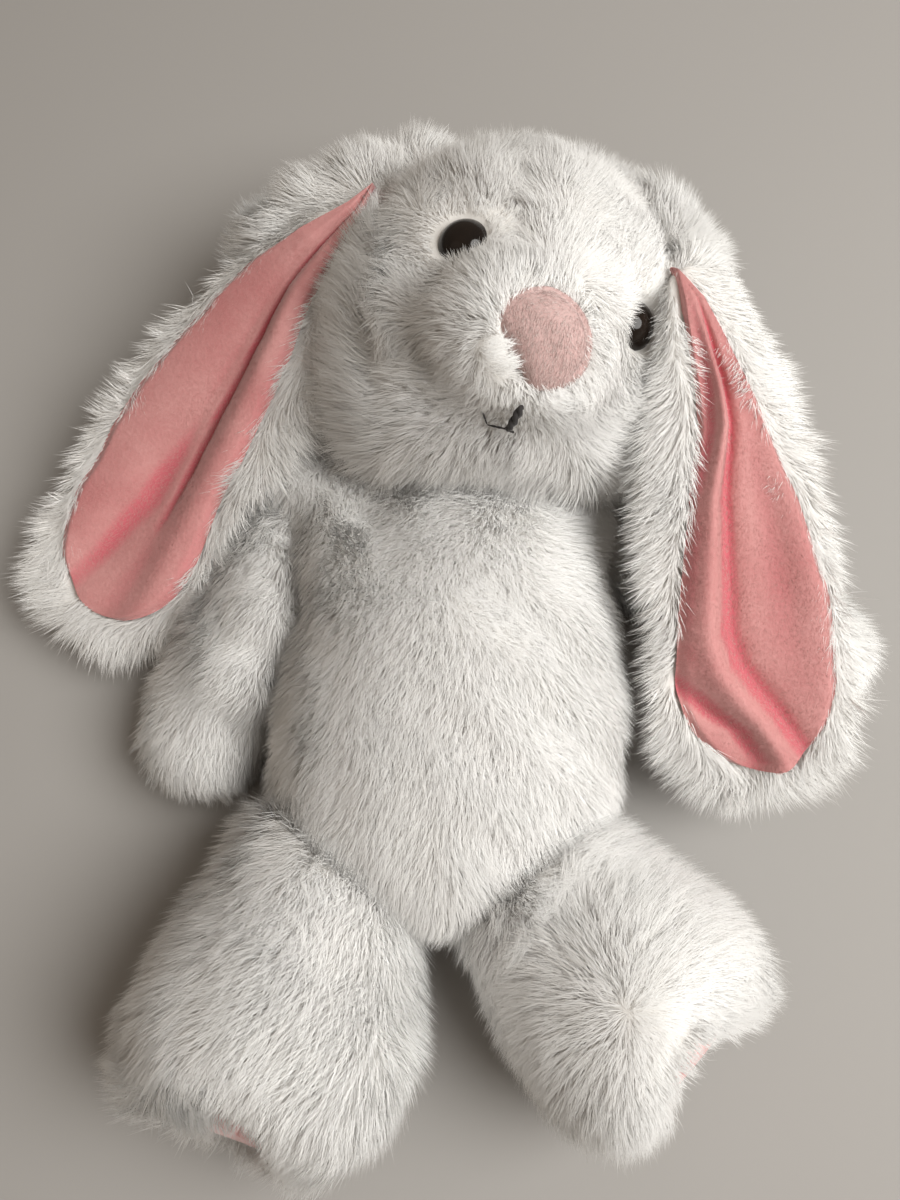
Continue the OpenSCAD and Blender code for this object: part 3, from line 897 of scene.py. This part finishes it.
def ear_back(side, ear):
    """The ear's fabric back, dented under its lining's folds."""
    back_node = f"ear_{side}_back"
    back = wrap(f"ear_{side}_backing", [back_node], 1.8 * MM, 0.8 * MM, relax=8)
    co = points_of(back.data)
    s, v, past = ear.local(co)
    relief = EAR_RELIEF[side](s, np.clip(v, -1, 1)) * MM * (past < 0)
    co += ear.up * np.minimum(relief, 0)[:, None] * 0.8
    fuller = 5 * MM * bump(s, 0.36, 0.18) * smooth(past, 0, 3) * (v > 0) * (side == "right")
    co += ear.across * fuller[:, None]
    set_points(back.data, co)
    wear(back, BACKING)
    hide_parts(back_node)
    return back


def ear_fur(side, ear, back, lining, seed):
    """Fur on the ear's back and round its edge, and none under the lining."""
    tree = BVHTree.FromObject(lining, bpy.context.evaluated_depsgraph_get())

    def keep(p, n, seam):
        gap = np.array([tree.find_nearest(Vector(q))[3] for q in p])
        s, _, past = ear.local(p)
        under = (past < -1.0) & (s > 0.0) & (s < 0.96)
        covered = (n @ ear.up > 0.0) & (gap < (1.3 + 5 * under) * MM)
        return np.where(covered, 0, thinned(n))

    def comb(p, n, seam):
        s, v, past = ear.local(p)
        outward = np.sign(v) * (1.3 * smooth(past, 0, 6) - 0.3 * bump(past, 0, 1.5))
        tipward = 0.6 + 0.8 * smooth(s, 0.78, 1.0)
        flow = ear.across * outward[:, None] + ear.along * tipward[:, None]
        return flow + 0.22 * wander(p) + 0.25 * swirl(p)

    def length(p, n, seam):
        s, v, past = ear.local(p)
        root = smooth(s, 0.02, 0.25)
        fringe = 4 * bump(s, 0.38, 0.16) * smooth(past, 2, 6) * (v > 0) * (side == "right")
        edge = 2.5 * smooth(past, 0, 6)
        return (9.5 + fringe + edge + 2.5 * smooth(s, 0.85, 1.0)) * (0.5 + 0.5 * root)

    def lift(p, n, seam):
        past = ear.local(p)[2]
        return 0.52 - 0.15 * smooth(past, 2, 6) + 0.1 * swirl(p)[:, 2]

    fur = pile(f"ear_{side}_pile", back, 6.2, length, comb, lift, keep, seed=seed, clump=0.28)
    return fur


def ear_nap(side, ear, lining, seed):
    """Short fibres lying along the lining's face."""
    nap = pile(f"ear_{side}_nap", lining, 7.5, lambda p, n, s: 0.8 + 0 * s,
               lambda p, n, s: ear.along + 0.3 * wander(p) + 0.4 * swirl(p),
               lambda p, n, s: 0.14 + 0.04 * swirl(p)[:, 1],
               lambda p, n, s: 0.8 * smooth(n @ ear.up, 0.0, 0.4), wave=0.04, ragged=0.25,
               seed=seed, width=0.09, clump=0.15, tones=LINING_TONES)
    return nap


def build_ear(side, seed):
    """Fur back, pile and pink lining of one ear."""
    ear = ear_frames[side]
    lining = lining_sheet(side, ear)
    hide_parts(f"ear_{side}_lining")
    back = ear_back(side, ear)
    fur = ear_fur(side, ear, back, lining, seed)
    nap = ear_nap(side, ear, lining, seed + 5)
    for obj in (lining, back, fur, nap):
        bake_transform(obj)
    wide, long = 2 * ear.edge(ear.stops).max(), ear.length * (ear.stop - ear.start)


build_ear("left", 31)
build_ear("right", 32)


# ---- Limbs -----------------------------------------------------------------

# places and radii, in mm from the shoulder, that fill the arm out towards the flank
ARM_FILL = {"arm_right": [((-7, -32, -4), 12), ((-14, -48, -4), 12)]}


def build_limb(name, pivot, heading, length, comb, lift, seed, soles=()):
    """One arm or leg and its fur. soles gives, for a leg, where the fur is left out: round a place and
    below its rim."""
    panels = [f"{name}_upper_panel", f"{name}_under_panel"]
    skin = build_body(f"{name}_backing", panels + [f"{name}_stuffing"], panels,
                      4.0 * MM, 0.0 * MM, 2.6 * MM, relax=9,
                      extra=[(pivot + np.array(at) * MM, r * MM) for at, r in ARM_FILL.get(name, [])])
    heading = unit(heading)

    def keep(p, n, seam):
        root = smooth((p - pivot) @ heading, -0.002, 0.004)
        share = thinned(n) * np.maximum(root, smooth(n @ -heading, 0.9, 0.5))
        share = np.maximum(share, 0.6 * (n[:, 2] > 0.2))
        for sole, rim in soles:
            beside_rim = 0.1 + 0.9 * smooth(far_from(p, rim), 0.0055, 0.0085)
            share = share * smooth(far_from(p, sole), 0.0118, 0.0142) * beside_rim
        return share

    def locks(p, n, seam):
        reach = smooth((p - pivot) @ heading, 0.03, 0.08)
        return 0.2 + 0.3 * smooth(wander(p)[:, 0], -0.3, 0.9) + 0.35 * reach * smooth(n[:, 2], 0.75, 0.45)

    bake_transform(skin)
    for layer, faces in zip(("upper", "under"), faces_near(skin, panels)):
        fur = pile(f"{name}_{layer}_pile", skin, 6.8, length, comb, lift, keep, seed=seed,
                   faces=faces, lock=18, ragged=0.55, width=0.18, clump=locks)
        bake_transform(fur)
        seed += 10


# how far each sole reaches up over the end of its foot
SOLE_RISE = {"left": 25.5 * MM, "right": 24 * MM}


def sole_rim(side):
    """The top of a sole's rim, where a little of the pink shows between the locks."""
    tree = tree_of(NODES[f"leg_{side}_upper_panel"].data)
    above = centre(f"leg_{side}_sole") + UP * SOLE_RISE[side]
    return np.array(tree.find_nearest(Vector(above))[0])


def limb_comb(heading, out_share, mid):
    """Along the limb, and away from its middle line."""
    heading = unit(heading)

    def comb(p, n, seam):
        out = p - mid
        out = out - (out @ heading)[:, None] * heading
        return heading * 1.2 + out_share * unit(out) + 0.2 * wander(p) + 0.25 * swirl(p)
    return comb


def node_heading(node, joint_at):
    """The level direction from a joint to a node's middle."""
    flow = centre(node) - joint_at
    flow[2] = 0
    return unit(flow)


for name, joint, seed in (("arm_left", "shoulder_left_swing", 41),
                          ("arm_right", "shoulder_right_lift", 42)):
    pivot = np.array(JOINTS[joint]["pos_m"])
    heading = node_heading(f"{name}_stuffing", pivot)
    build_limb(name, pivot, heading,
               lambda p, n, s: 12.0 - 1.5 * s, limb_comb(heading, 0.5, centre(f"{name}_stuffing")),
               lambda p, n, s: 0.62 - 0.15 * s + 0.15 * swirl(p)[:, 0], seed)


def foot_comb(side, heading):
    """Along the leg, parted on the left foot's top, and away from the sole below."""
    mid = centre(f"leg_{side}_stuffing")
    sole = centre(f"leg_{side}_sole")
    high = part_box(f"leg_{side}_upper_panel")[1]
    plain = limb_comb(heading, 0.5, mid)
    # the parting on top of the left foot, a little behind its toes
    star = mid + heading * 10 * MM - np.array([5, 0, 0]) * MM
    star[2] = high[2]

    def comb(p, n, seam):
        flow = plain(p, n, seam)
        if side == "left":
            near = bump(far_from(p, star), 0, 0.034)[:, None]
            flow = flow * (1 - near) + near * 1.6 * radial(p, star)
        # the fur on top hangs over the sole, and the rest leans away from it
        near = bump(far_from(p, sole), 0.016, 0.009) * smooth(n[:, 2], 0.3, -0.2)
        return flow + near[:, None] * 0.5 * radial(p, sole)
    return comb


def foot_length(side, heading):
    """Full fur on the leg, longer locks at the toes, shorter below its sole."""
    sole = centre(f"leg_{side}_sole")
    rim = sole_rim(side)

    def length(p, n, seam):
        near = smooth(far_from(p, sole), 0.028, 0.016) * smooth(n[:, 2], 0.3, -0.2)
        toes = 3.5 * smooth(n @ heading, 0.1, 0.7)
        over_rim = 1 - 0.7 * bump(far_from(p, rim), 0, 0.014)
        return (12.3 + toes - 1.5 * seam) * (1 - 0.3 * near) * over_rim
    return length


for side, seed in (("left", 51), ("right", 52)):
    heading = lift_direction(f"hip_{side}_lift")
    build_limb(f"leg_{side}", HIP[side], heading,
               foot_length(side, heading), foot_comb(side, heading),
               lambda p, n, s: 0.68 - 0.12 * s + 0.15 * swirl(p)[:, 0], seed,
               soles=[(centre(f"leg_{side}_sole"), sole_rim(side))])


# ---- Soles -----------------------------------------------------------------

def hug(pad, skin, sole, heading, rise):
    """Curves a sole round the end of its foot, its rim drawn up over the top."""
    tree = tree_of(skin.data)
    q = points_of(pad.data) - sole
    high = np.where(q @ heading > 0, 2.2, -0.8) * MM
    upper = smooth(q[:, 2] / q[:, 2].max(), 0.1, 0.9)
    side = np.cross(heading, UP)
    q += np.outer((q @ side) * 0.5 * upper, side)
    q[:, 2] *= np.where(q[:, 2] > 0, rise / q[:, 2].max(), 1.0)
    near = [tree.find_nearest(Vector(sole + row))[:2] for row in q]
    place = np.array([spot for spot, _ in near])
    normal = np.array([out for _, out in near])
    set_points(pad.data, place + normal * high[:, None])


for side in ("left", "right"):
    node = f"leg_{side}_sole"
    pad = wrap(f"leg_{side}_sole_pad", [node], 0.9 * MM, 0, relax=4)
    hug(pad, bpy.data.objects[f"leg_{side}_backing"], centre(node),
        lift_direction(f"hip_{side}_lift"), SOLE_RISE[side])
    wear(pad, SOLE)
    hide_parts(node)
    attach(pad, f"leg_{side}")


# ---- Nose, mouth and eyes --------------------------------------------------

nose = wrap("nose_pad", ["nose_patch", "nose_padding"], 0.8 * MM, 0, relax=5)
CHIN = mouth_at - nose_at
CHIN = unit(CHIN - (CHIN @ NOSE_OUT) * NOSE_OUT)
NOSE_SIDE = np.cross(CHIN, NOSE_OUT)
NOSE_SHIFT = np.array([0.7, -0.4, 0.0]) * MM
NOSE_LONG = unit(np.array([0.6, -0.8, 0.0]))
NOSE_CORNER = unit(np.array([-0.8, 0.6, 0.0]))


def shape_nose(p):
    """A pad that narrows to one lower side, dented beside the tuft, its seam pressed in above."""
    q = p - nose_at
    h = q @ NOSE_OUT
    flat = q - np.outer(h, NOSE_OUT)
    ring = np.linalg.norm(flat, axis=1) / 0.0122
    toward = unit(flat)
    long_way = (toward @ NOSE_LONG) ** 2
    dent = smooth(toward @ TUFT, 0.60, 1.0)
    corner = smooth(toward @ NOSE_CORNER, 0.65, 1.0)
    shoulder = smooth(toward @ -TUFT, 0.5, 1.0)
    size = 0.98 + 0.12 * long_way - 0.20 * dent + 0.12 * corner - 0.04 * shoulder
    seam = bump(ring, 0.84, 0.06) * smooth(toward @ -TUFT, -0.1, 0.5)
    ridge = bump(ring, 0.45, 0.35) * smooth(toward @ -TUFT, -0.5, 0.8)
    h2 = h * 0.88 + 0.0010 * ridge - 0.0013 * seam
    return nose_at + NOSE_SHIFT + flat * size[:, None] + np.outer(h2, NOSE_OUT)


set_points(nose.data, shape_nose(points_of(nose.data)))
wear(nose, NOSE)
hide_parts("nose_patch", "nose_padding")
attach(nose, "head")
nose_nap = pile("nose_nap", nose, 9, lambda p, n, s: 1.3 + 0 * s,
                lambda p, n, s: CHIN * 1.2 - NOSE_SIDE * 0.5 + 0.6 * swirl(p),
                lambda p, n, s: 0.18 + 0.05 * swirl(p)[:, 0],
                lambda p, n, s: smooth(n @ NOSE_OUT, -0.3, 0.1), wave=0.06, ragged=0.3,
                seed=61, width=0.12, clump=0.3, tones=NOSE_TONES)
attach(nose_nap, "head")


def thread(bm, a, b, radius, sag):
    """A two-ply twisted stitch from a to b, bowed out by sag."""
    a, b = Vector(a), Vector(b)
    run = (b - a).normalized()
    out = Vector(NOSE_OUT)
    side = run.cross(out).normalized()
    up = side.cross(run)
    rows, around = 22, 9
    for ply in (0, 1):
        rings = []
        for i in range(rows + 1):
            t = i / rows
            slim = math.sqrt(max(1 - (2 * t - 1) ** 4, 0.02))
            spot = a.lerp(b, t) + out * sag * (1 - (2 * t - 1) ** 2)
            turn = 2 * math.pi * (1.6 * t + ply / 2)
            spot += (side * math.cos(turn) + up * math.sin(turn)) * radius * 0.3 * slim
            turns = [2 * math.pi * k / around for k in range(around)]
            thick = radius * 0.7 * slim
            rings.append([bm.verts.new(spot + (side * math.cos(w) + up * math.sin(w)) * thick)
                          for w in turns])
        for r0, r1 in zip(rings, rings[1:]):
            for k in range(around):
                bm.faces.new((r0[k], r0[(k + 1) % around], r1[(k + 1) % around], r1[k]))
        bm.faces.new(rings[0][::-1])
        bm.faces.new(rings[-1])


# the mouth's stitches: both ends, in mm from the CAD mouth, and the thread's radius
STITCHES = [((6.4, -2.1, 4.8), (3.0, -6.4, -1.4), 1.2), ((-3.9, 1.6, -2.2), (-1.8, -3.1, -5.0), 0.25),
            ((-1.8, -3.1, -5.0), (3.0, -4.8, -3.8), 0.32), ((2.6, -4.4, -3.6), (5.0, -5.7, -4.0), 0.45)]


def build_mouth():
    """One thick stitch slanting down below the nose, and thin ones beside its lower end."""
    bm = bmesh.new()
    for a, b, radius in STITCHES:
        ends = mouth_at + np.array([a, b]) * MM
        thread(bm, ends[0], ends[1], radius * MM, radius * 0.6 * MM)
    mesh = bpy.data.meshes.new("mouth_stitches")
    bm.to_mesh(mesh)
    bm.free()
    smooth_shaded(mesh)
    mesh.materials.append(THREAD)
    mouth = linked("mouth_stitches", mesh)
    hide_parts("mouth_thread")
    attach(mouth, "head")


build_mouth()

for node, mat in (("eye_left", EYE), ("eye_right", EYE),
                  ("eye_washer_left", WASHER), ("eye_washer_right", WASHER),
                  ("closing_stitches", STITCH), ("torso_stuffing", FILLING),
                  ("head_stuffing", FILLING), ("arm_left_stuffing", FILLING),
                  ("arm_right_stuffing", FILLING), ("leg_left_stuffing", FILLING),
                  ("leg_right_stuffing", FILLING)):
    shown = NODES[node]
    wear(shown, mat)
    smooth_shaded(shown.data)
    shown.data.set_sharp_from_angle(angle=math.radians(35))


# ---- Floor, light and camera -----------------------------------------------

def stage():
    """A pale floor in a warm dim room."""
    bpy.ops.mesh.primitive_plane_add(size=8, location=(0, 0, 0))
    floor = bpy.context.object
    floor.name = "floor"
    mat, _, _, shader = new_material("floor_pale")
    set_inputs(shader, {"Base Color": (0.40, 0.385, 0.37, 1), "Roughness": 0.9})
    floor.data.materials.append(mat)
    world = bpy.data.worlds.new("studio")
    world.use_nodes = True
    set_inputs(world.node_tree.nodes["Background"],
               {"Color": (1.0, 0.85, 0.70, 1), "Strength": 0.23})
    bpy.context.scene.world = world


def area_light(name, place, aim, size, power, color):
    """A round lamp at a place, turned to aim."""
    data = bpy.data.lights.new(name, "AREA")
    data.shape = "DISK"
    data.size = size
    data.energy = power
    data.color = color
    obj = bpy.data.objects.new(name, data)
    bpy.context.scene.collection.objects.link(obj)
    obj.location = place
    obj.rotation_euler = (Vector(aim) - Vector(place)).to_track_quat("-Z", "Y").to_euler()


def camera():
    """The photo's view, from above and a little towards the feet."""
    data = bpy.data.cameras.new("photo_view")
    data.sensor_fit = "HORIZONTAL"
    data.sensor_width = 36
    data.lens = 38
    data.clip_start = 0.01
    obj = bpy.data.objects.new("photo_view", data)
    bpy.context.scene.collection.objects.link(obj)
    obj.location = (0.0014, -0.0279, 0.300)
    obj.rotation_euler = (math.radians(12), 0, 0)
    bpy.context.scene.camera = obj


stage()
area_light("key", (0.56, -0.05, 0.79), (0, 0.02, 0.03), 0.7, 10.2, (1.0, 0.99, 0.96))
area_light("fill", (-0.8, -0.2, 0.9), (0, 0.0, 0.03), 0.9, 0.3, (1.0, 0.86, 0.72))
camera()
bpy.context.scene.view_settings.view_transform = "Standard"
